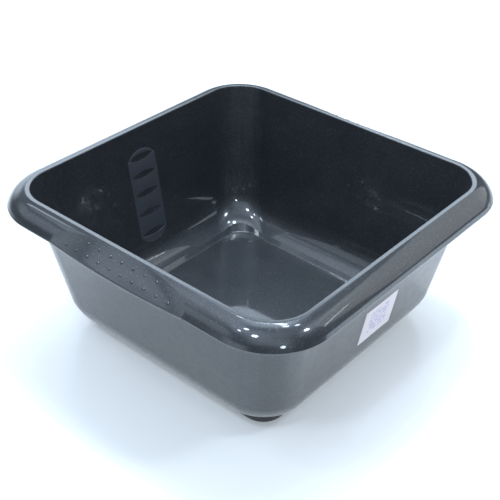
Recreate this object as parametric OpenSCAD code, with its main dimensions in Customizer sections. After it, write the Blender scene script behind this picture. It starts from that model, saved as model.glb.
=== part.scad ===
// Square mixing tub: one thin moulding with leaning walls, a shallow foot, a rolled-over rim,
// two bowed grips with raised dots, and a graduation strip inside; plus a paper label outside.
// Millimetres. +Z up, origin at the middle of the underside. The grips are on the -X and +X sides,
// the label is outside the -Y wall and the graduation strip is inside the +Y wall.

/* [Bowl] */
// Opening from inner wall to inner wall at the top, across the two grip sides
opening_x = 280; // [230:1:360]
// Opening from inner wall to inner wall at the top, across the two plain sides
opening_y = 283; // [230:1:360]
// Overall height
height = 141; // [110:1:180]
// Thickness of the walls
wall = 2.2; // [1.6:0.1:3]
// Thickness of the floor
floor_t = 2.5; // [1.6:0.1:3.2]
// Lean of the walls from upright, in degrees
wall_lean = 9.7; // [7:0.1:13]
// Radius of the upright corners, measured inside
corner_r = 34; // [26:1:44]
// Radius of the sweep from the walls into the floor, measured outside
sweep_r = 40; // [30:1:46]

/* [Foot] */
// Outside width of the foot across the grip sides
foot_x = 208; // [190:1:220]
// Height of the foot along its straight sides
foot_h = 4.8; // [4:0.1:7]
// Corner radius of the foot
foot_corner_r = 19; // [12:1:24]

/* [Rim] */
// Width of the flat land round the opening
land_w = 3.8; // [3:0.1:6]
// How far the rim reaches out from the opening
rim_reach = 20; // [17:0.5:26]
// How far the rim drops below the land
rim_drop = 15.4; // [14:0.1:20]
// Thickness of the rim
rim_t = 2; // [1.4:0.1:2.4]
// Slope at which the roll leaves the land, in degrees
roll_start = 14; // [5:1:20]
// Height of the upright lip under the roll
lip_h = 1.6; // [1.2:0.1:2.4]
// Radius of the edge where the land meets the inside
edge_r = 1; // [0.5:0.1:1.5]

/* [Grips] */
// Length of each grip along its side
grip_len = 144; // [110:1:160]
// How far each grip bows out past the plain rim at its middle
grip_bow = 3.2; // [1:0.1:6]
// Small step outwards at each end of a grip
grip_step = 0.8; // [0.4:0.1:1.5]
// Height of the upright lip along a grip
grip_lip_h = 2.8; // [2:0.1:4]
// Width of roll left between the land and the grip face at its middle
grip_margin = 0.7; // [0.4:0.1:2]
// Distance between neighbouring dots in a row
dot_pitch = 12.3; // [9:0.1:15]
// Radius of each dot's dome
dot_r = 1.3; // [1:0.1:1.8]
// How far each dot stands out of the grip face
dot_rise = 0.7; // [0.4:0.1:0.9]
// Distance of the upper row of dots from the opening
upper_row = 10.5; // [9:0.1:12]
// Distance of the lower row of dots from the opening
lower_row = 18; // [15:0.1:20]
// Dots in the upper row
upper_dots = 7; // [3:1:9]
// Dots in the lower row
lower_dots = 10; // [4:2:10]

/* [Graduation strip] */
// Width of the strip
strip_w = 34; // [24:1:44]
// Height above the underside at which the strip starts
strip_low = 35.5; // [35:0.5:50]
// Height above the underside at which its straight sides end
strip_high = 111; // [90:1:115]
// Height of each of the strip's rounded ends, along the wall
strip_end_h = 9.7; // [4:0.1:12]
// How far the strip stands out of the wall
strip_rise = 0.3; // [0.2:0.1:0.6]
// Height of the lowest mark above the underside
first_mark = 36.5; // [36:0.5:44]
// Distance between neighbouring marks at the bottom of the strip
mark_pitch = 21; // [17:0.1:22]
// How much closer together each next pair of marks is
mark_closing = 1.25; // [0:0.05:2]
// Number of marks
marks = 5; // [2:1:5]
// Width of each mark
mark_w = 29; // [16:1:32]
// Height of each mark at its middle
mark_h = 6; // [3:0.1:7]

/* [Label] */
// Width of the label
label_w = 45; // [30:1:60]
// Height of the label along the wall
label_h = 37; // [25:1:45]
// Thickness of the label
label_t = 0.2; // [0.1:0.1:0.4]
// Distance of the label's middle to the right of the wall's middle
label_x = 7; // [-20:1:20]
// Height of the label's middle above the underside
label_z = 61; // [55:1:75]

/* [Hidden] */

// Steps along each curve of the shell
corner_steps = 10;
sweep_steps = 6;
roll_steps = 6;
under_steps = 4;
face_steps = 3;
edge_steps = 3;
grip_steps = 14;
// Width of the end of the roll that the grip face never takes in
roll_tail = 1.5;
// Half the distance over which a grip's end step rises
step_half = 0.4;
dot_fn = 10;
// Depth to which each dot is let into the grip face
dot_root = 0.5;
curve_fn = 96;
// Depth to which the strip is let into the wall behind it
strip_root = 0.5;

half_x = opening_x / 2;
stretch_y = (opening_y - opening_x) / 2;
grip_half = grip_len / 2;
side_half_x = half_x - corner_r;
side_half_y = half_x + stretch_y - corner_r;

// The sweep's circle touches the wall line and passes through the top of the foot. In the plane
// across a side, p is a point as [distance from the middle, height].
wall_up = [sin(wall_lean), cos(wall_lean)];
wall_out = [cos(wall_lean), -sin(wall_lean)];
outer_top = [half_x + wall / cos(wall_lean), height];
foot_top = [foot_x / 2, foot_h];
foot_off = (foot_top - outer_top) * wall_out;
foot_along = (foot_top - outer_top) * wall_up;
sweep_along = foot_along + sqrt(-foot_off * (2 * sweep_r + foot_off));
sweep_mid = outer_top + sweep_along * wall_up - sweep_r * wall_out;

// The roll is an arc that leaves the land at roll_start and ends at the lip. Points on the rim
// are [distance out from the opening, height above the land].
roll_chord = [rim_reach - land_w, rim_drop - lip_h];
roll_end = 2 * atan(roll_chord[1] / roll_chord[0]) - roll_start;
roll_r = norm(roll_chord) / (2 * sin((roll_end - roll_start) / 2));
roll_mid = [land_w - roll_r * sin(roll_start), -roll_r * cos(roll_start)];

function roll_point(r, slope) = roll_mid + r * [sin(slope), cos(slope)];
function roll_slope(d) = asin((d - roll_mid[0]) / roll_r);
function steps(from, to, n) = [for (i = [0:n]) from + (to - from) * i / n];
function mix(p, q, n) = [for (i = [1:n]) p + (q - p) * i / n];

// How much of a grip is present at y: 1 at its middle, 0 at its ends and beyond.
function grip_share(y) = sqrt(max(0, 1 - pow(y / grip_half, 2)));
function in_grip(y) = abs(y) < grip_half;
function face_start(y) =
    let (first = land_w + grip_margin, last = rim_reach - roll_tail)
    in_grip(y) ? last - (last - first) * grip_share(y) : last;
function face_end(y) = in_grip(y)
    ? [rim_reach + grip_step + grip_bow * pow(grip_share(y), 2), grip_lip_h - rim_drop]
    : [rim_reach, lip_h - rim_drop];

// Columns run round the tub, anticlockwise from above. Each is [side or corner number, share of
// the straight side from -1 to 1, angle round the corner]; a corner has share 1.
grip_ys = concat(
    [-grip_half - step_half, -grip_half + step_half],
    [for (i = [1:grip_steps - 1]) -grip_half * cos(180 * i / grip_steps)],
    [grip_half - step_half, grip_half + step_half]);
grip_shares = [for (y = grip_ys) y / side_half_y];
plain_shares = [-0.5, 0, 0.5];
columns = [for (side = [0:3])
    let (shares = side % 2 == 0 ? grip_shares : plain_shares)
    each concat(
        [for (s = shares) [side, s, 0]],
        [for (a = steps(0, 90, corner_steps)) [side, 1, a]])];

// A point of a rounded rectangle, c being the half-width of its flat across X and r its corner
// radius. The flats of the other two sides are longer by stretch_y.
function ring_xy(col, c, r) =
    let (
        side = col[0],
        flat = side % 2 == 0 ? c + stretch_y : c,
        away = side % 2 == 0 ? c : c + stretch_y,
        local = [away + r * cos(col[2]), flat * col[1] + r * sin(col[2])],
        turn = 90 * side)
    [local[0] * cos(turn) - local[1] * sin(turn), local[0] * sin(turn) + local[1] * cos(turn)];
function ring_point(col, c, r, z) = let (p = ring_xy(col, c, r)) [p[0], p[1], z];

// The y that decides the grip's shape: the column's own on a grip side, far away elsewhere.
function grip_y(col) = col[0] % 2 == 0 && col[1] < 1 ? col[1] * side_half_y : 2 * grip_half;
function rim_point(col, p) = ring_point(col, half_x - corner_r, corner_r + p[0], height + p[1]);

// Where a body of corner radius r meets the side of a foot of half-width h and corner radius f.
function crease_c(angle, h, r, f) =
    let (
        high = max(cos(angle), sin(angle)),
        low = min(cos(angle), sin(angle)),
        flat = h - r * high,
        both = r * (high + low))
    flat + r * low <= h - f ? flat : h - f + (sqrt(pow(both, 2) - 2 * (r * r - f * f)) - both) / 2;

// Angles below level at which the sweep of radius s meets the foot and the wall.
function sweep_low(col, h, r, f, s) =
    -acos((crease_c(col[2], h, r, f) + r - sweep_mid[0]) / s);
function sweep_rings(col, h, r, f, s) = [for (a = steps(sweep_low(col, h, r, f, s), -wall_lean, sweep_steps))
    ring_point(col, sweep_mid[0] + s * cos(a) - r, r, sweep_mid[1] + s * sin(a))];
function foot_ring(col, h, r, f, z) = ring_point(col, crease_c(col[2], h, r, f), r, z);

function outside(col) =
    let (h = foot_x / 2, r = corner_r + wall)
    concat([foot_ring(col, h, r, foot_corner_r, 0)], sweep_rings(col, h, r, foot_corner_r, sweep_r));
function inside(col) =
    let (
        h = foot_x / 2 - wall,
        f = foot_corner_r - wall,
        rings = sweep_rings(col, h, corner_r, f, sweep_r - wall),
        count = len(rings))
    concat([for (i = [1:count]) rings[count - i]], [foot_ring(col, h, corner_r, f, floor_t)]);

function under_rim(col) =
    let (
        y = grip_y(col),
        r = roll_r - rim_t,
        slope = roll_slope(face_start(y)),
        last = face_end(y) - rim_t * [sin(roll_end), cos(roll_end)],
        meet = wall / cos(wall_lean) - rim_t * tan(wall_lean))
    [for (p = concat(
        [[meet, -rim_t]],
        [for (a = steps(roll_start, slope, under_steps)) roll_point(r, a)],
        mix(roll_point(r, slope), last, face_steps),
        [[last[0], -rim_drop]])) rim_point(col, p)];
function over_rim(col) =
    let (
        y = grip_y(col),
        slope = roll_slope(face_start(y)),
        last = face_end(y))
    [for (p = concat(
        [[last[0], -rim_drop], last],
        mix(last, roll_point(roll_r, slope), face_steps),
        [for (i = [1:roll_steps]) roll_point(roll_r, slope + (roll_start - slope) * i / roll_steps)]))
        rim_point(col, p)];
function inner_edge(col) =
    let (mid = [edge_r * (1 - sin(wall_lean)) / cos(wall_lean), -edge_r])
    [for (a = steps(0, 90 - wall_lean, edge_steps)) rim_point(col, mid + edge_r * [-sin(a), cos(a)])];

function column_points(col) = concat(outside(col), under_rim(col), over_rim(col), inner_edge(col), inside(col));

// The shell's skin is a grid of columns and rows, closed by a fan under the floor and one on it.
module shell() {
    all = [for (col = columns) column_points(col)];
    rows = len(all[0]);
    cols = len(all);
    under = rows * cols;
    polyhedron(
        points = concat([for (c = all) each c], [[0, 0, 0], [0, 0, floor_t]]),
        faces = [for (j = [0:cols - 1])
            let (k = (j + 1) % cols)
            each concat(
                [for (i = [0:rows - 2]) [j * rows + i, j * rows + i + 1, k * rows + i + 1, k * rows + i]],
                [[under, j * rows, k * rows]],
                [[under + 1, k * rows + rows - 1, j * rows + rows - 1]])],
        convexity = 8);
}

// Height, above the land, of a grip's face at distance d from the opening.
function face_height(d, y) =
    let (
        p = roll_point(roll_r, roll_slope(face_start(y))),
        q = face_end(y))
    p[1] + (q[1] - p[1]) * (d - p[0]) / (q[0] - p[0]);

// A dot: a low dome between its foot, sunk in the grip face, and its crown.
module dot() {
    crown = 0.45 * dot_r;
    translate([0, 0, -dot_root]) hull() {
        cylinder(r = dot_r, h = dot_root + dot_rise / 3, $fn = dot_fn);
        cylinder(r = 0.8 * dot_r, h = dot_root + 0.8 * dot_rise, $fn = dot_fn);
        cylinder(r = crown, h = dot_root + dot_rise, $fn = dot_fn);
    }
}

module dots(count, d) {
    for (side = [0, 180], i = [0:count - 1]) {
        y = (i - (count - 1) / 2) * dot_pitch;
        slope = atan(face_height(d, y) - face_height(d + 1, y));
        rotate(side) translate([half_x + d, y, height + face_height(d, y)]) rotate([0, slope, 0]) dot();
    }
}

// Puts its children on the inside of the +Y wall, y up the wall from the underside's level.
module on_inner_wall() {
    drop = height / cos(wall_lean);
    translate([0, opening_y / 2, height]) rotate([90 - wall_lean, 0, 0]) translate([0, -drop, 0]) children();
}

// Puts its children on the outside of the -Y wall, y up the wall from the underside's level.
module on_outer_wall() {
    drop = height / cos(wall_lean);
    out = opening_y / 2 + wall / cos(wall_lean);
    translate([0, -out, height]) rotate([90 + wall_lean, 0, 0]) translate([0, -drop, 0]) children();
}

// A lens: two equal arcs that meet at a point at each end.
module lens(w, h) {
    r = (pow(w / 2, 2) + pow(h / 2, 2)) / h;
    intersection() {
        translate([0, r - h / 2]) circle(r = r, $fn = curve_fn);
        translate([0, h / 2 - r]) circle(r = r, $fn = curve_fn);
    }
}

module strip_outline() {
    low = strip_low / cos(wall_lean);
    high = strip_high / cos(wall_lean);
    translate([-strip_w / 2, low]) square([strip_w, high - low]);
    for (end = [low, high]) translate([0, end]) lens(strip_w, 2 * strip_end_h);
}

function mark_height(i) = first_mark + i * mark_pitch - mark_closing * i * (i - 1) / 2;

module graduation_strip() {
    on_inner_wall() translate([0, 0, -strip_root]) linear_extrude(strip_root + strip_rise) difference() {
        strip_outline();
        for (i = [0:marks - 1]) translate([0, mark_height(i) / cos(wall_lean)]) lens(mark_w, mark_h);
    }
}

module tub() {
    color("#3b3f48") union() {
        shell();
        dots(upper_dots, upper_row);
        dots(lower_dots, lower_row);
        graduation_strip();
    }
}

module label() {
    color("#eceef6") on_outer_wall()
        translate([label_x - label_w / 2, label_z / cos(wall_lean) - label_h / 2, 0])
            cube([label_w, label_h, label_t]);
}

tub();
label();
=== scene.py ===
import math

import bmesh
import bpy
import numpy as np
from mathutils import Matrix, Vector
from mathutils.geometry import delaunay_2d_cdt


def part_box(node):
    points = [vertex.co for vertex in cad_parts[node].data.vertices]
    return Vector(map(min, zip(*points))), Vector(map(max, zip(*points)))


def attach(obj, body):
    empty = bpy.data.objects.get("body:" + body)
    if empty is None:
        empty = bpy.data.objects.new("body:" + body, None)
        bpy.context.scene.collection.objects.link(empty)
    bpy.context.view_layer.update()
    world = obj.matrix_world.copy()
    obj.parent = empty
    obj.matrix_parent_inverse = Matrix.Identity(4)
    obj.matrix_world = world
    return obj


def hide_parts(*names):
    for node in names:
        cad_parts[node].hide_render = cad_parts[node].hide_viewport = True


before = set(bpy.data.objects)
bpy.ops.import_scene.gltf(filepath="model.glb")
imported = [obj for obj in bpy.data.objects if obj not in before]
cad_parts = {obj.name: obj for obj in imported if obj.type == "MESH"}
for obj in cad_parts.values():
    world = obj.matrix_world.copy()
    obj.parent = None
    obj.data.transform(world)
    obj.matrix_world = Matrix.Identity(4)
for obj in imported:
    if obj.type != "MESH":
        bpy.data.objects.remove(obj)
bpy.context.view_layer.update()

tub_low, tub_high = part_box("tub")
label_low, label_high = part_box("label")

# ---------------------------------------------------------------- driving sizes
# In millimetres, as in the CAD. Meshes are scaled to metres when they are made.
MM = 0.001

# The bowl. The sweep is the large curve from the walls into the floor.
wall = 2.2
floor_t = 2.5
wall_lean = math.radians(9.7)
corner_r = 34
sweep_r = 40

# The foot. Inside, its step is a slope of length step_run.
foot_x = 208
foot_h = 4.8
foot_corner_r = 19
step_run = 4.2

# The rim: a flat land round the opening, a roll, and an upright lip. The roll starts at a slope, stops
# roll_tail short of the full reach, and runs straight on from there. The lip's lower edge is tucked in.
land_w = 3.8
rim_reach = 20
rim_drop = 15.4
rim_t = 2
roll_start = math.radians(14)
roll_tail = 1.5
lip_h = 1.6
lip_tuck = 0.4

# The grips: a flat face cuts across the roll on both X sides, from grip_margin beyond the land at its middle.
# Its outer edge steps out at each end and bows out between, and the face is hollow by grip_scoop.
grip_len = 144
grip_bow = 3.2
grip_step = 0.8
grip_step_half = 0.6
grip_lip_h = 2.8
grip_margin = 0.7
grip_scoop = 0.35

# The raised dots on each grip, in rows of (how many, how far out from the opening).
dot_pitch = 12.3
dot_r = 1.3
dot_rise = 0.7
dot_root = 0.5
dot_rows = ((7, 10.5), (10, 18))

# The graduation strip inside the +Y wall. Each gap between marks is mark_closing less than the one below.
strip_w = 34
strip_low = 35.5
strip_high = 111
strip_end_h = 9.7
strip_rise = 0.3
strip_root = 0.3
first_mark = 36.5
mark_pitch = 21
mark_closing = 1.25
marks = 5
mark_w = 29
mark_h = 6

# The label on the outside of the -Y wall.
label_w = 45
label_h = 37
label_t = 0.2
label_corner_r = 1.2

# The gate mark under the floor, a nub in a shallow dish: (radius, height) from its edge inwards.
gate_mark = ((7.4, 0.0), (7.0, 0.08), (6.4, 0.5), (6.0, 0.6), (2.2, 0.6), (1.9, 0.5), (1.6, 0.2), (1.3, 0.1))

# Roundings of the moulding's edges, from the underside over the rim to the floor.
foot_edge_r = 0.7
crease_r = 0.9
under_r = 1.5
lip_r = 0.4
lip_top_r = 0.6
grip_top_r = 2.2
crest_r = 1.1
land_r = 3.0
edge_r = 1.0
step_r = 2.0

# ---------------------------------------------------------------- derived sizes
height = tub_high.z / MM
opening_x = (tub_high.x - tub_low.x) / MM - 2 * (rim_reach + grip_step + grip_bow)
opening_y = (tub_high.y - tub_low.y) / MM - 2 * rim_reach
half_x = opening_x / 2
stretch_y = (opening_y - opening_x) / 2
side_half_y = half_x + stretch_y - corner_r
rim_c = half_x - corner_r
grip_half = grip_len / 2
lean_sin, lean_cos, lean_tan = math.sin(wall_lean), math.cos(wall_lean), math.tan(wall_lean)

# Outline points are (distance from the middle along X, height above the underside). The sweep touches the
# flat wall and passes through the top of the foot.
wall_up = np.array([lean_sin, lean_cos])
wall_out = np.array([lean_cos, -lean_sin])
outer_top = np.array([half_x + wall / lean_cos, height])
foot_top = np.array([foot_x / 2, foot_h])
foot_off = (foot_top - outer_top) @ wall_out
foot_along = (foot_top - outer_top) @ wall_up
sweep_along = foot_along + math.sqrt(-foot_off * (2 * sweep_r + foot_off))
sweep_mid = outer_top + sweep_along * wall_up - sweep_r * wall_out

# Rim points are (distance out from the opening, height above the land). The roll's arc, carried on, would
# end at the top of the plain lip.
roll_chord = (rim_reach - land_w, rim_drop - lip_h)
roll_end = 2 * math.atan2(roll_chord[1], roll_chord[0]) - roll_start
roll_r = math.hypot(*roll_chord) / (2 * math.sin((roll_end - roll_start) / 2))
roll_mid = np.array([land_w - roll_r * math.sin(roll_start), -roll_r * math.cos(roll_start)])

# ---------------------------------------------------------------- mesh density
# How many steps each stretch or circle is made of.
CORNER_STEPS = 28
GRIP_STEPS = 48
GRIP_END_STEPS = 8
SIDE_STEPS = 8
SWEEP_STEPS = 14
ROLL_STEPS = 16
UNDER_STEPS = 8
FACE_STEPS = 8
FILLET_STEPS = 4
DOT_AROUND = 16
DOT_UP = 5
STRIP_END_STEPS = 24
MARK_STEPS = 16
LABEL_STEPS = (30, 24)
# How far the label's evenly spaced lines reach, as shares of its half-width and half-height.
LABEL_EVEN = (0.94, 0.93)
# The part of an edge that a rounding at its end may take.
FILLET_SHARE = 0.45
# In millimetres: the outermost ring of the floor and the underside, and the strip's lines for bending.
FLAT_RING = 4
BEND_PITCH = 1.0

# ---------------------------------------------------------------- studio sizes
# In metres and degrees, with the lens in millimetres. Azimuth 0 is +X and grows towards +Y.
CAMERA_AZIMUTH = -139.57
CAMERA_ELEVATION = 34.73
CAMERA_ROLL = 0.97
CAMERA_DISTANCE = 0.8678
CAMERA_TARGET = Vector((-0.00355, 0.00412, 0.5 * height * MM))
CAMERA_LENS = 71.2
CAMERA_SHIFT = (0.00866, 0.00084)

LIGHT_TARGET = Vector((0, 0, 0.1))
LAMP_DISTANCE = 2.0
COOL_LIGHT = (0.73, 0.86, 1.0)
PLAIN_LIGHT = (0.90, 0.95, 0.98)
# Where the lamps stand that the plastic shows as a row of tubes and as window panes: (azimuth, elevation).
TUBES = ((44, 68), (34, 71), (20, 74), (0, 76), (-33, 78))
WINDOW_PANES = ((-51, 27), (-49, 29), (-47, 30.5), (-45, 32))

FLOOR_HALF = 6
FLOOR_Z = -0.0002


# ---------------------------------------------------------------- small helpers
def steps(start, end, n):
    return [start + (end - start) * i / n for i in range(n + 1)]


def smooth(t):
    t = min(1, max(0, t))
    return t * t * (3 - 2 * t)


def going_round(n):
    """Each number below n with the next one, and the last with the first."""
    return [(k, (k + 1) % n) for k in range(n)]


def arc_r(width, rise):
    """Radius of an arc over a chord of the given width that rises by rise at its middle."""
    return ((width / 2) ** 2 + rise ** 2) / (2 * rise)


def arc(width, y, rise, n):
    """Points of an arc, anticlockwise, over a chord at height y if rise is positive and under it if not."""
    way = math.copysign(1, rise)
    r = arc_r(width, abs(rise))
    return [(x, y + way * (math.sqrt(max(0, r * r - x * x)) - (r - abs(rise))))
            for x in steps(way * width / 2, -way * width / 2, n)]


# ---------------------------------------------------------------- the rim's roll and the grips
def roll_point(r, slope):
    return roll_mid + r * np.array([math.sin(slope), math.cos(slope)])


def roll_slope(d):
    return math.asin((d - roll_mid[0]) / roll_r)


def grip_share(y):
    """1 at a grip's middle, 0 at its ends and beyond."""
    return math.sqrt(max(0, 1 - (y / grip_half) ** 2))


def grip_amount(y):
    """How much of the grip's end step is present, from 0 to 1."""
    return smooth((grip_half + grip_step_half - abs(y)) / (2 * grip_step_half))


def face_start(y):
    """How far out the roll ends and the face starts."""
    first, last = land_w + grip_margin, rim_reach - roll_tail
    return last - (last - first) * grip_share(y)


def face_end(y):
    """The rim point where the face meets the lip."""
    plain = np.array([rim_reach, lip_h - rim_drop])
    grip = np.array([rim_reach + grip_step + grip_bow * grip_share(y) ** 2, grip_lip_h - rim_drop])
    return plain + (grip - plain) * grip_amount(y)


def face_point(t, y):
    """A rim point of the face, from the roll (t = 0) to the lip (t = 1). On a grip the face is hollow."""
    p, q = roll_point(roll_r, roll_slope(face_start(y))), face_end(y)
    run, drop = q - p
    inwards = np.array([drop, -run]) / math.hypot(run, drop)
    return p + t * (q - p) + 4 * t * (1 - t) * grip_scoop * grip_share(y) * inwards


def face_height(d, y):
    p, q = face_point(0, y), face_point(1, y)
    return face_point((d - p[0]) / (q[0] - p[0]), y)[1]


# ---------------------------------------------------------------- the shell's grid
def make_columns():
    """Columns run round the tub, anticlockwise from above, as (side, share of the straight side, angle)."""
    just_past_step = 1.2
    ends = [grip_half + grip_step_half * k for k in [just_past_step] + steps(1, -1, GRIP_END_STEPS)]
    reach = grip_half - grip_step_half
    middle = [-reach * math.cos(math.pi * i / GRIP_STEPS) for i in range(1, GRIP_STEPS)]
    grip_side = [y / side_half_y for y in [-e for e in ends] + middle + ends[::-1]]
    plain_side = steps(-0.9, 0.9, SIDE_STEPS)
    columns = []
    for side in range(4):
        columns += [(side, share, 0.0) for share in (grip_side if side % 2 == 0 else plain_side)]
        columns += [(side, 1.0, a) for a in steps(0, math.pi / 2, CORNER_STEPS)]
    return columns


def ring_point(column, c, r, z):
    """The column's point on a rounded rectangle: its corners have radius r and their centres are c out."""
    side, share, angle = column
    flat = c + stretch_y if side % 2 == 0 else c
    away = c if side % 2 == 0 else c + stretch_y
    x, y = away + r * math.cos(angle), flat * share + r * math.sin(angle)
    turn_cos, turn_sin = ((1, 0), (0, 1), (-1, 0), (0, -1))[side]
    return (x * turn_cos - y * turn_sin, x * turn_sin + y * turn_cos, z)


def crease_c(angle, h, r, f):
    """Where a body of corner radius r meets the side of a foot of half-width h and corner radius f."""
    high, low = max(math.cos(angle), math.sin(angle)), min(math.cos(angle), math.sin(angle))
    flat, both = h - r * high, r * (high + low)
    if flat + r * low <= h - f:
        return flat
    return h - f + (math.sqrt(both ** 2 - 2 * (r * r - f * f)) - both) / 2


def sweep_rings(foot_c, r, s):
    """Rows (c, r, z) up a sweep of radius s, from the foot at foot_c to the flat wall."""
    low = -math.acos((foot_c + r - sweep_mid[0]) / s)
    return [(sweep_mid[0] + s * math.cos(a) - r, r, sweep_mid[1] + s * math.sin(a))
            for a in steps(low, -wall_lean, SWEEP_STEPS)]


def rim_row(p):
    return (rim_c, corner_r + p[0], height + p[1])


def outside_rows(angle):
    """The underside's edge, the foot, the sweep and the outer wall, as (row, rounding)."""
    r = corner_r + wall
    foot_c = crease_c(angle, foot_x / 2, r, foot_corner_r)
    rings = sweep_rings(foot_c, r, sweep_r)
    rows = [((foot_c - FLAT_RING, r, 0), 0), ((foot_c, r, 0), foot_edge_r), (rings[0], crease_r)]
    rows += [(p, 0) for p in rings[1:]]
    return rows + [(rim_row((wall / lean_cos - rim_t * lean_tan, -rim_t)), under_r)]


def rim_rows(y):
    """The rim's underside, the lip, the face, the roll and the land, as (row, rounding)."""
    slope, end = roll_slope(face_start(y)), face_end(y)
    under = [roll_point(roll_r - rim_t, a) for a in steps(roll_start, slope, UNDER_STEPS)]
    last = end - rim_t * np.array([math.sin(roll_end), math.cos(roll_end)])
    under += [under[-1] + (last - under[-1]) * i / FACE_STEPS for i in range(1, FACE_STEPS)]
    roll = [roll_point(roll_r, a) for a in steps(slope, roll_start, ROLL_STEPS)]

    points = [(p, 0) for p in under]
    points += [(last, lip_r), ((last[0], -rim_drop), lip_r), ((end[0] - lip_tuck, -rim_drop), lip_r)]
    points += [(end, lip_top_r + (grip_top_r - lip_top_r) * grip_amount(y))]
    points += [(face_point(1 - i / FACE_STEPS, y), 0) for i in range(1, FACE_STEPS)]
    points += [(roll[0], crest_r)] + [(p, 0) for p in roll[1:-1]]
    points += [((land_w, 0), land_r), ((0, 0), edge_r)]
    return [(rim_row(p), rounding) for p, rounding in points]


def inside_rows(angle):
    """The inner wall, the sweep, the step and the floor's edge, as (row, rounding)."""
    foot_c = crease_c(angle, foot_x / 2 - wall, corner_r, foot_corner_r - wall)
    rings = sweep_rings(foot_c, corner_r, sweep_r - wall)[::-1]
    floor_c = foot_c - step_run
    rows = [(p, 0) for p in rings[:-1]] + [(rings[-1], step_r)]
    return rows + [((floor_c, corner_r, floor_t), step_r), ((floor_c - FLAT_RING, corner_r, floor_t), 0)]


def profile(column):
    """One column's outline from the underside, over the rim, to the floor, as (row, rounding)."""
    side, share, angle = column
    off_the_grip = 2 * grip_half
    y = share * side_half_y if side % 2 == 0 and share < 1 else off_the_grip
    return outside_rows(angle) + rim_rows(y) + inside_rows(angle)


def rounded(path):
    """The outline with each corner that has a rounding replaced by a short curve. Lengths and angles are
    taken in the outline's own plane, where the distance out is c + r."""
    points = [np.array(p, float) for p, _ in path]
    flat = [np.array([p[0] + p[1], p[2]]) for p in points]
    out = []
    for i, (p, (_, radius)) in enumerate(zip(points, path)):
        if not radius:
            out.append(p)
            continue
        back, on = flat[i - 1] - flat[i], flat[i + 1] - flat[i]
        back_len, on_len = np.linalg.norm(back), np.linalg.norm(on)
        turn = math.pi - math.acos(np.clip(back @ on / (back_len * on_len), -1, 1))
        reach = min(radius * math.tan(turn / 2), FILLET_SHARE * back_len, FILLET_SHARE * on_len)
        a = p + (points[i - 1] - p) * reach / back_len
        b = p + (points[i + 1] - p) * reach / on_len
        for t in steps(0, 1, FILLET_STEPS):
            out.append((1 - t) ** 2 * a + 2 * t * (1 - t) * p + t * t * b)
    return out


def pulled_in(point, radius, z):
    """The point moved straight towards the Z axis, to the given distance from it, and to height z."""
    x, y, _ = point
    scale = radius / math.hypot(x, y)
    return (x * scale, y * scale, z)


# ---------------------------------------------------------------- mesh objects
def new_object(name, verts, faces, material):
    """A smooth-shaded piece in metres, from points in millimetres, that belongs to the body root."""
    mesh = bpy.data.meshes.new(name)
    mesh.from_pydata([tuple(MM * x for x in v) for v in verts], [], faces)
    bm = bmesh.new()
    bm.from_mesh(mesh)
    bmesh.ops.recalc_face_normals(bm, faces=bm.faces)
    bm.to_mesh(mesh)
    bm.free()
    mesh.shade_smooth()
    mesh.materials.append(material)
    piece = bpy.data.objects.new(name, mesh)
    bpy.context.scene.collection.objects.link(piece)
    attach(piece, "root")
    return piece


def weighted_normals(mesh):
    """Large faces decide the normals at their edges, so flats stay flat and the roundings take the turn."""
    normals = np.zeros((len(mesh.vertices), 3))
    for face in mesh.polygons:
        normals[list(face.vertices)] += np.array(face.normal) * face.area
    normals /= np.maximum(np.linalg.norm(normals, axis=1, keepdims=True), 1e-20)
    mesh.normals_split_custom_set_from_vertices(normals.tolist())


# ---------------------------------------------------------------- the tub's shell
def make_shell(material):
    """The moulding as one closed skin: a grid of columns, closed by the floor and by the underside."""
    grid = [[ring_point(column, *p) for p in rounded(profile(column))] for column in make_columns()]
    rows = len(grid[0])
    round_tub = going_round(len(grid))
    verts = [p for column in grid for p in column]
    faces = [(j * rows + i, k * rows + i, k * rows + i + 1, j * rows + i + 1)
             for j, k in round_tub for i in range(rows - 1)]

    ring = [j * rows for j, _ in round_tub]
    underside_edge = [verts[i] for i in ring]
    for radius, z in gate_mark:
        outer, ring = ring, [len(verts) + j for j, _ in round_tub]
        verts += [pulled_in(p, radius, z) for p in underside_edge]
        faces += [(ring[j], ring[k], outer[k], outer[j]) for j, k in round_tub]
    under, on_floor = len(verts), len(verts) + 1
    verts += [(0, 0, gate_mark[-1][1]), (0, 0, floor_t)]
    faces += [(under, ring[k], ring[j]) for j, k in round_tub]
    faces += [(on_floor, j * rows + rows - 1, k * rows + rows - 1) for j, k in round_tub]

    piece = new_object("tub_shell", verts, faces, material)
    weighted_normals(piece.data)
    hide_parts("tub")


# ---------------------------------------------------------------- the grips' dots
def dome(d, y):
    """Points and faces of one dot on the +X grip, d out from the opening, with its root in the face."""
    slope = math.atan(face_height(d, y) - face_height(d + 1, y))
    centre = np.array([half_x + d, y, height + face_height(d, y)])
    out = np.array([math.sin(slope), 0, math.cos(slope)])
    down = np.array([math.cos(slope), 0, -math.sin(slope)])
    across = np.array([0, 1, 0])

    rings = [(dot_r, -dot_root)]
    rings += [(dot_r * math.cos(a), dot_rise * math.sin(a)) for a in steps(0, math.pi / 2, DOT_UP)[:-1]]
    points, faces = [], []
    for r, lift in rings:
        for a in steps(0, 2 * math.pi, DOT_AROUND)[:-1]:
            points.append(centre + r * (math.cos(a) * down + math.sin(a) * across) + lift * out)
    for ring, lift in ((0, -dot_root), (len(rings) - 1, dot_rise)):
        tip = len(points)
        points.append(centre + lift * out)
        faces += [(tip, ring * DOT_AROUND + j, ring * DOT_AROUND + k) for j, k in going_round(DOT_AROUND)]
    for ring in range(len(rings) - 1):
        a, b = ring * DOT_AROUND, (ring + 1) * DOT_AROUND
        faces += [(a + j, a + k, b + k, b + j) for j, k in going_round(DOT_AROUND)]
    return points, faces


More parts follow.
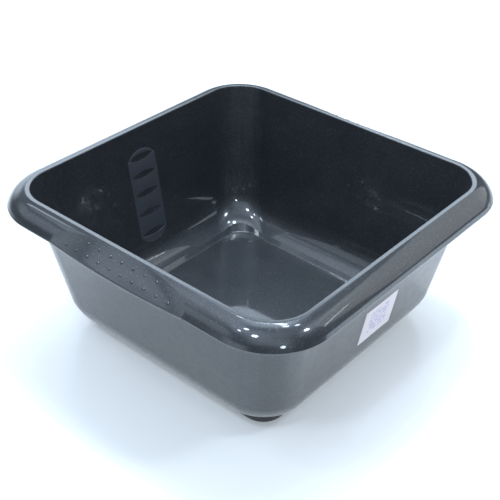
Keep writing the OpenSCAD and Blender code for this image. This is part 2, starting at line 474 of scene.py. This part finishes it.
def make_dots(material):
    """Low domes in rows on both grips, as one piece. The -X grip is the +X one turned half round."""
    verts, faces = [], []
    for side in (1, -1):
        for count, d in dot_rows:
            for i in range(count):
                points, dome_faces = dome(d, (i - (count - 1) / 2) * dot_pitch)
                faces += [tuple(len(verts) + k for k in face) for face in dome_faces]
                verts += [(side * x, side * y, z) for x, y, z in points]
    new_object("grip_dots", verts, faces, material)


# ---------------------------------------------------------------- the graduation strip
def inner_wall(x, up, lift):
    """A point on the inside of the +Y wall: x across, up the wall from the underside's level, lifted off it.
    Below the flat wall it follows the sweep."""
    s = sweep_r - wall
    low = (sweep_mid[1] - s * lean_sin) / lean_cos
    if up >= low:
        z = up * lean_cos
        y = opening_y / 2 - (height - z) * lean_tan
        return (x, y - lift * lean_cos, z + lift * lean_sin)
    a = -wall_lean - (low - up) / s
    y = sweep_mid[0] + stretch_y + (s - lift) * math.cos(a)
    return (x, y, sweep_mid[1] + (s - lift) * math.sin(a))


def mark_ups():
    """How far up the wall the middle of each mark is."""
    return [(first_mark + i * mark_pitch - mark_closing * i * (i - 1) / 2) / lean_cos for i in range(marks)]


def on_strip(x, up):
    """Whether a point is on the strip and in none of its windows."""
    past_end = max(up - strip_high / lean_cos, strip_low / lean_cos - up)
    end_r = arc_r(strip_w, strip_end_h)
    if abs(x) > strip_w / 2:
        return False
    if past_end > 0 and math.hypot(x, past_end - strip_end_h + end_r) > end_r:
        return False
    window_r = arc_r(mark_w, mark_h / 2)
    return all(math.hypot(x, abs(up - middle) + window_r - mark_h / 2) >= window_r for middle in mark_ups())


def strip_sheet():
    """The strip laid flat: points (x, up the wall) and triangles, with a lens-shaped window at each mark."""
    low, high = strip_low / lean_cos, strip_high / lean_cos
    verts, edges = [], []

    def loop(points):
        edges.extend((len(verts) + j, len(verts) + k) for j, k in going_round(len(points)))
        verts.extend(Vector(p) for p in points)

    loop(arc(strip_w, high, strip_end_h, STRIP_END_STEPS) + arc(strip_w, low, -strip_end_h, STRIP_END_STEPS))
    for up in mark_ups():
        halves = [arc(mark_w, up, rise, MARK_STEPS) for rise in (mark_h / 2, -mark_h / 2)]
        loop(halves[0][:-1] + halves[1][:-1])
    # Lines across, so that the strip can bend onto the sweep.
    for up in np.arange(low - strip_end_h + BEND_PITCH, low, BEND_PITCH):
        edges.append((len(verts), len(verts) + 1))
        verts.extend((Vector((-strip_w, up)), Vector((strip_w, up))))
    points, _, triangles, _, _, _ = delaunay_2d_cdt(verts, edges, [], 0, 1e-5)

    kept = [t for t in triangles if on_strip(*(sum((points[i] for i in t), Vector((0, 0))) / 3))]
    used = sorted({i for t in kept for i in t})
    place = {i: n for n, i in enumerate(used)}
    return [points[i] for i in used], [tuple(place[i] for i in t) for t in kept]


def make_strip(material):
    """The matt strip, whose windows leave the glossy wall bare."""
    points, fronts = strip_sheet()
    count = len(points)
    verts = [inner_wall(x, up, lift) for lift in (strip_rise, -strip_root) for x, up in points]
    backs = [tuple(i + count for i in t[::-1]) for t in fronts]
    borders = {}
    for t in fronts:
        for j, k in going_round(3):
            key = frozenset((t[j], t[k]))
            borders[key] = None if key in borders else (t[j], t[k])
    sides = [(b, a, a + count, b + count) for a, b in filter(None, borders.values())]
    piece = new_object("graduation_strip", verts, fronts + backs + sides, material)
    weighted_normals(piece.data)


# ---------------------------------------------------------------- the label
def label_point(u, v, lift):
    """A point of the label, lifted off the wall. u and v run from -1 to 1, and what lies past the straight
    edges is pulled in, which rounds the corners."""
    x, y = u * label_w / 2, v * label_h / 2
    straight_x, straight_y = label_w / 2 - label_corner_r, label_h / 2 - label_corner_r
    dx, dy = abs(x) - straight_x, abs(y) - straight_y
    if dx > 0 and dy > 0:
        scale = max(dx, dy) / math.hypot(dx, dy)
        x = math.copysign(straight_x + dx * scale, x)
        y = math.copysign(straight_y + dy * scale, y)
    centre_x = (label_low.x + label_high.x) / 2 / MM
    centre_up = (label_low.z + label_high.z) / 2 / MM / lean_cos
    z = (centre_up + y) * lean_cos
    out = opening_y / 2 + wall / lean_cos - (height - z) * lean_tan
    return (centre_x + x, -(out + lift * lean_cos), z - lift * lean_sin)


def label_lines(size, even, n):
    """Grid lines from -1 to 1: n even gaps between -even and even, and close lines at the round corners."""
    corner = 2 * label_corner_r / size
    close = [k * (1 - corner * t) for k in (-1, 1) for t in steps(0, 1, 4)]
    return sorted(set(close + steps(-even, even, n)))


def make_label(material):
    """A thin paper label with small round corners."""
    us = label_lines(label_w, LABEL_EVEN[0], LABEL_STEPS[0])
    vs = label_lines(label_h, LABEL_EVEN[1], LABEL_STEPS[1])
    n, m = len(us), len(vs)
    back = n * m
    verts = [label_point(u, v, lift) for lift in (label_t, 0.0) for v in vs for u in us]
    uvs = 2 * [((u + 1) / 2, (v + 1) / 2) for v in vs for u in us]
    faces = []
    for j in range(m - 1):
        for a in range(j * n, j * n + n - 1):
            quad = (a, a + 1, a + n + 1, a + n)
            faces += [quad, tuple(q + back for q in quad[::-1])]
    border = list(range(n)) + [j * n + n - 1 for j in range(1, m)]
    border += [(m - 1) * n + i for i in range(n - 2, -1, -1)] + [j * n for j in range(m - 2, 0, -1)]
    for j, k in going_round(len(border)):
        a, b = border[j], border[k]
        faces.append((b, a, a + back, b + back))

    piece = new_object("wall_label", verts, faces, material)
    layer = piece.data.uv_layers.new(name="label_uv")
    for loop in piece.data.loops:
        layer.data[loop.index].uv = uvs[loop.vertex_index]
    weighted_normals(piece.data)
    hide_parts("label")


# ---------------------------------------------------------------- materials
class Nodes:
    """A short way to write a node tree. Textures use the object's own coordinates."""

    # A Mix node names its sockets alike for every data type, so its colour sockets are found by number.
    MIX_INPUTS = (0, 6, 7)
    MIX_RESULT = 2

    def __init__(self, name):
        self.material = bpy.data.materials.new(name)
        self.material.use_nodes = True
        self.tree = self.material.node_tree
        self.tree.nodes.clear()
        self.place = self.add("ShaderNodeTexCoord").outputs["Object"]

    def add(self, kind, **settings):
        node = self.tree.nodes.new(kind)
        for key, value in settings.items():
            setattr(node, key, value)
        return node

    def plug(self, socket, value):
        """Gives an input its number, its three numbers, its colour, or the output that feeds it."""
        if isinstance(value, (int, float)):
            socket.default_value = value
        elif isinstance(value, tuple):
            socket.default_value = value if len(socket.default_value) == 3 else (*value, 1)
        else:
            self.tree.links.new(value, socket)

    def put(self, node, **inputs):
        """Plugs inputs by name, written with _ for a space."""
        for key, value in inputs.items():
            self.plug(node.inputs[key.replace("_", " ")], value)
        return node

    def surface(self, output):
        self.put(self.add("ShaderNodeOutputMaterial"), Surface=output)
        return self.material

    def principled(self, **inputs):
        """Finishes the material with a Principled shader."""
        return self.surface(self.put(self.add("ShaderNodeBsdfPrincipled"), **inputs).outputs["BSDF"])

    def noise(self, size_mm, detail=2.0, rough=0.5):
        node = self.put(self.add("ShaderNodeTexNoise"), Vector=self.place, Scale=1 / (size_mm * MM),
                        Detail=detail, Roughness=rough)
        return node.outputs["Fac"]

    def cells(self, size_mm):
        node = self.put(self.add("ShaderNodeTexVoronoi"), Vector=self.place, Scale=1 / (size_mm * MM))
        return node.outputs["Color"]

    def ramp(self, value, stops):
        node = self.put(self.add("ShaderNodeValToRGB"), Fac=value)
        elements = node.color_ramp.elements
        while len(elements) < len(stops):
            elements.new(0.5)
        for element, (position, colour) in zip(elements, stops):
            element.position = position
            element.color = (*colour, 1)
        return node.outputs["Color"]

    def to_range(self, value, low, high, from_low, from_high, **settings):
        node = self.put(self.add("ShaderNodeMapRange", **settings), Value=value, From_Min=from_low,
                        From_Max=from_high, To_Min=low, To_Max=high)
        return node.outputs["Result"]

    def split(self, vector):
        return self.put(self.add("ShaderNodeSeparateXYZ"), Vector=vector).outputs

    def math(self, operation, *values):
        node = self.add("ShaderNodeMath", operation=operation)
        for socket, value in zip(node.inputs, values):
            self.plug(socket, value)
        return node.outputs["Value"]

    def mix(self, factor, a, b, blend="MIX"):
        node = self.add("ShaderNodeMix", data_type="RGBA", blend_type=blend)
        for index, value in zip(self.MIX_INPUTS, (factor, a, b)):
            self.plug(node.inputs[index], value)
        return node.outputs[self.MIX_RESULT]

    def bump(self, height_value, strength, distance_mm, **normal):
        node = self.put(self.add("ShaderNodeBump"), Height=height_value, Strength=strength,
                        Distance=distance_mm * MM, **normal)
        return node.outputs["Normal"]


def tub_plastic():
    """Dark blue-grey plastic with a fine metallic fleck under a glossy skin."""
    n = Nodes("tub_plastic")
    deep, grey, spark = (0.033, 0.037, 0.042), (0.048, 0.053, 0.060), (0.16, 0.17, 0.19)
    cool, warm = (0.9, 0.91, 0.94), (1.08, 1.07, 1.05)
    fleck = n.ramp(n.cells(0.5), [(0.0, deep), (0.8, grey), (1.0, spark)])
    mottle = n.ramp(n.noise(28, 3), [(0.35, cool), (0.65, warm)])
    scuff = n.noise(9, 6, 0.62)
    wave = n.bump(n.noise(55, 1), 0.25, 0.6)
    peel = n.bump(n.noise(3.2, 2), 0.06, 0.08, Normal=wave)
    return n.principled(
        Base_Color=n.mix(1.0, fleck, mottle, "MULTIPLY"), Metallic=0.5, IOR=1.5, Normal=peel,
        Roughness=n.to_range(scuff, 0.36, 0.46, 0.35, 0.75),
        Coat_Weight=1.0, Coat_IOR=1.5, Coat_Normal=peel,
        Coat_Roughness=n.to_range(scuff, 0.02, 0.09, 0.4, 0.75))


def strip_plastic():
    """The strip's spark-eroded texture: the same plastic, matt and a shade lighter."""
    n = Nodes("strip_plastic")
    dark, light = (0.045, 0.051, 0.062), (0.08, 0.09, 0.107)
    grain = n.noise(0.6, 4, 0.7)
    return n.principled(
        Base_Color=n.ramp(grain, [(0.35, dark), (0.7, light)]), Metallic=0.3, IOR=1.5,
        Roughness=n.to_range(grain, 0.5, 0.65, 0.3, 0.7), Normal=n.bump(grain, 0.4, 0.05))


def print_mask(n):
    """Where the label is printed: rows of dashes, in a block that leaves a margin."""
    uv = n.add("ShaderNodeUVMap", uv_map="label_uv").outputs["UV"]
    u, v = n.split(uv)[:2]

    def band(value, low, high):
        return n.math("MULTIPLY", n.math("GREATER_THAN", value, low), n.math("LESS_THAN", value, high))

    rows, row_height = 9.0, 0.55
    lines = n.math("LESS_THAN", n.math("FRACT", n.math("MULTIPLY", v, rows)), row_height)
    stretched = n.put(n.add("ShaderNodeMapping"), Vector=uv, Scale=(22, 9, 1)).outputs["Vector"]
    words = n.put(n.add("ShaderNodeTexNoise", noise_dimensions="2D"), Vector=stretched, Scale=1.0, Detail=3.0)
    dashes = n.math("GREATER_THAN", words.outputs["Fac"], 0.47)
    block = n.math("MULTIPLY", band(u, 0.22, 0.78), band(v, 0.2, 0.86))
    return n.math("MULTIPLY", n.math("MULTIPLY", lines, dashes), block)


def label_paper():
    """Semi-gloss white paper with faint violet print that forms no letters."""
    n = Nodes("label_paper")
    shaded, white, ink = (0.84, 0.77, 0.80), (0.92, 0.84, 0.86), (0.34, 0.30, 0.62)
    ink_strength = 0.7
    paper = n.ramp(n.noise(7, 3), [(0.3, shaded), (0.7, white)])
    printed = n.mix(n.math("MULTIPLY", print_mask(n), ink_strength), paper, ink)
    fibres = n.bump(n.noise(0.35, 3), 0.15, 0.03)
    return n.principled(Base_Color=printed, IOR=1.45, Roughness=0.45, Normal=fibres)


def floor_material():
    """White board that glows a little, so that shadows on it stay pale."""
    return Nodes("floor").principled(
        Base_Color=(0.90, 0.90, 0.90), Roughness=0.22, IOR=1.4,
        Emission_Color=(0.88, 0.95, 1.0), Emission_Strength=0.2)


def glow_material(name, radiance, edge, colour):
    """Clear glowing film that fades to nothing over the outer share `edge` of a card."""
    n = Nodes(name)
    strength = radiance
    for across in n.split(n.add("ShaderNodeTexCoord").outputs["Generated"])[:2]:
        from_middle = n.math("ABSOLUTE", n.math("SUBTRACT", across, 0.5))
        fade = n.to_range(from_middle, 0, 1, 0.5, 0.5 - edge / 2, interpolation_type="SMOOTHSTEP")
        strength = n.math("MULTIPLY", fade, strength)
    both = n.add("ShaderNodeAddShader")
    glow = n.put(n.add("ShaderNodeEmission"), Color=colour, Strength=strength)
    n.plug(both.inputs[0], glow.outputs["Emission"])
    n.plug(both.inputs[1], n.add("ShaderNodeBsdfTransparent").outputs["BSDF"])
    return n.surface(both.outputs["Shader"])


# ---------------------------------------------------------------- studio
def direction(azimuth, elevation):
    a, e = math.radians(azimuth), math.radians(elevation)
    return Vector((math.cos(a) * math.cos(e), math.sin(a) * math.cos(e), math.sin(e)))


def make_camera():
    back = direction(CAMERA_AZIMUTH, CAMERA_ELEVATION)
    right = (-back).cross(Vector((0, 0, 1))).normalized()
    up = right.cross(-back)
    roll = math.radians(CAMERA_ROLL)
    roll_right = right * math.cos(roll) + up * math.sin(roll)
    roll_up = up * math.cos(roll) - right * math.sin(roll)
    data = bpy.data.cameras.new("camera")
    data.lens = CAMERA_LENS
    data.sensor_width = 36
    data.shift_x, data.shift_y = CAMERA_SHIFT
    data.clip_end = 50
    camera = bpy.data.objects.new("camera", data)
    turn = Matrix((roll_right, roll_up, back)).transposed().to_4x4()
    camera.matrix_world = Matrix.Translation(CAMERA_TARGET + back * CAMERA_DISTANCE) @ turn
    bpy.context.scene.collection.objects.link(camera)
    bpy.context.scene.camera = camera


def rectangle(name, half_x, half_y, z, material):
    """A flat mesh object that faces up."""
    mesh = bpy.data.meshes.new(name)
    corners = [(-half_x, -half_y, z), (half_x, -half_y, z), (half_x, half_y, z), (-half_x, half_y, z)]
    mesh.from_pydata(corners, [], [(0, 1, 2, 3)])
    mesh.materials.append(material)
    return bpy.data.objects.new(name, mesh)


def make_floor():
    ground = rectangle("studio_floor", FLOOR_HALF, FLOOR_HALF, FLOOR_Z, floor_material())
    bpy.context.scene.collection.objects.link(ground)


def make_world():
    world = bpy.data.worlds.new("studio")
    world.use_nodes = True
    background = world.node_tree.nodes["Background"]
    background.inputs["Color"].default_value = (0.8, 0.88, 1.0, 1)
    background.inputs["Strength"].default_value = 0.1
    bpy.context.scene.world = world
    bpy.context.scene.view_settings.view_transform = "Standard"


def aim(thing, azimuth, elevation, distance):
    """Puts a light in a direction from the tub's rim, with its local Z axis away from the rim."""
    away = direction(azimuth, elevation)
    thing.location = LIGHT_TARGET + away * distance
    thing.rotation_euler = away.to_track_quat("Z", "Y").to_euler()
    bpy.context.scene.collection.objects.link(thing)


def soft_card(name, azimuth, elevation, distance, width, tall, radiance, edge=0.7, colour=COOL_LIGHT):
    """A glowing card with soft edges, so that its reflection in the plastic has none. It glows both ways."""
    card = rectangle(name, width / 2, tall / 2, 0, glow_material(name + "_glow", radiance, edge, colour))
    aim(card, azimuth, elevation, distance)
    card.visible_camera = False


def lamp(name, azimuth, elevation, size, radiance):
    """A small round lamp. Its power is its radiance times pi times its area."""
    data = bpy.data.lights.new(name, "AREA")
    data.shape = "DISK"
    data.size = size
    data.energy = radiance * math.pi * (math.pi * size ** 2 / 4)
    data.color = COOL_LIGHT
    aim(bpy.data.objects.new(name, data), azimuth, elevation, LAMP_DISTANCE)


def make_cards():
    """They fill the plastic's rough reflection and draw the broad bands on the rim."""
    soft_card("overhead", 40, 74, 1.8, 1.5, 1.5, 3.4)
    soft_card("back_card", 42, 34, 2.2, 3.0, 0.76, 3.9, edge=0.5)
    soft_card("back_high", 40, 58, 2.0, 2.2, 1.1, 1.2)
    soft_card("back_horizon", 72, 10, 2.6, 2.4, 1.3, 1.9)
    soft_card("right_card", -26, 28, 2.2, 1.9, 1.5, 1.35, edge=0.1, colour=PLAIN_LIGHT)
    soft_card("right_horizon", -46, -1, 2.2, 2.6, 0.28, 2.8, edge=0.5)
    soft_card("right_high", -55, 50, 2.2, 2.0, 0.8, 1.3)
    soft_card("left_card", 132, 30, 2.2, 3.0, 1.1, 1.3)
    soft_card("left_strip", 121, 45, 2.2, 1.4, 0.3, 1.4)
    soft_card("crest_strip", 98, 43, 2.2, 0.24, 0.5, 5.0)
    soft_card("left_high", 130, 60, 2.0, 2.2, 1.2, 1.8)
    soft_card("front_card", -140, 42, 2.2, 3.0, 1.2, 1.1)
    soft_card("front_high", -140, 64, 2.0, 2.2, 1.2, 0.9)
    soft_card("side_card", 172, 12, 2.2, 2.0, 0.9, 1.4)


def make_lamps():
    """They show as sparkles in the corners of the rim and of the sweep."""
    lamp("lamp_right", -68, 51, 0.24, 45)
    lamp("lamp_left", -168, 55, 0.26, 45)
    lamp("lamp_front", -122, 26, 0.24, 25)
    lamp("lamp_back", 69, 63, 0.18, 35)
    lamp("lamp_side", 159, 66, 0.18, 35)
    lamp("lamp_side_low", 160, 54, 0.14, 30)
    lamp("lamp_top", -39, 69, 0.16, 30)
    for i, place in enumerate(TUBES):
        lamp("tube_" + str(i), *place, 0.17, 36)
    for i, place in enumerate(WINDOW_PANES):
        lamp("window_" + str(i), *place, 0.04, 15)


make_camera()
make_floor()
make_world()
make_cards()
make_lamps()
plastic = tub_plastic()
make_shell(plastic)
make_dots(plastic)
make_strip(strip_plastic())
make_label(label_paper())
